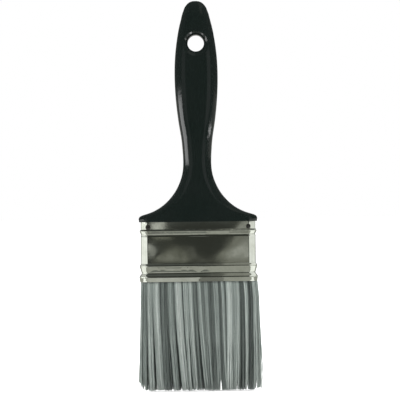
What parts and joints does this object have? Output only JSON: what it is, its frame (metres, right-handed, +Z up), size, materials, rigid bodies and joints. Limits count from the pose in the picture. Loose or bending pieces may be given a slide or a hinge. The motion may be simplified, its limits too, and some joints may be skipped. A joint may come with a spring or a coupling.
{
  "type": "flat paint brush",
  "caption": "Flat synthetic paint brush with a beavertail plastic handle, a beaded nickel-plated ferrule and flexing grey filaments.",
  "frame": {"origin": "centre of the hanging hole in the handle", "axes": "+Z up along the handle away from the filaments, X across the brush's width, -Y out of the broad front face"},
  "size_m": [0.0802, 0.0184, 0.2513],
  "materials": {
    "handle_plastic": "glossy moulded black polypropylene",
    "ferrule_plate": "bright nickel-plated steel sheet",
    "nail_steel": "dull nickel-plated steel",
    "epoxy_resin": "cured amber epoxy",
    "spacer_wood": "plain sawn wood strip",
    "filament_grey": "mixed grey, white and black synthetic filament"
  },
  "bodies": {
    "handle_and_ferrule": {"handle": "handle_plastic", "ferrule": "ferrule_plate", "nail_front_left": "nail_steel", "nail_front_right": "nail_steel", "nail_back_left": "nail_steel", "nail_back_right": "nail_steel", "epoxy_plug": "epoxy_resin", "spacer_plug_front": "spacer_wood", "spacer_plug_back": "spacer_wood"},
    "filament_bundle": {"filaments_front_row": "filament_grey", "filaments_middle_row": "filament_grey", "filaments_back_row": "filament_grey", "filaments_left_end": "filament_grey", "filaments_right_end": "filament_grey"}
  },
  "joints": [
    {"name": "filament_flex", "type": "hinge", "parent": "handle_and_ferrule", "child": "filament_bundle", "pos_m": [0, 0, -0.1535], "axis": [1, 0, 0], "range_deg": [-30, 30], "stiffness_Nm_per_rad": 1, "deforming": ["filaments_front_row", "filaments_middle_row", "filaments_back_row", "filaments_left_end", "filaments_right_end"]}
  ]
}
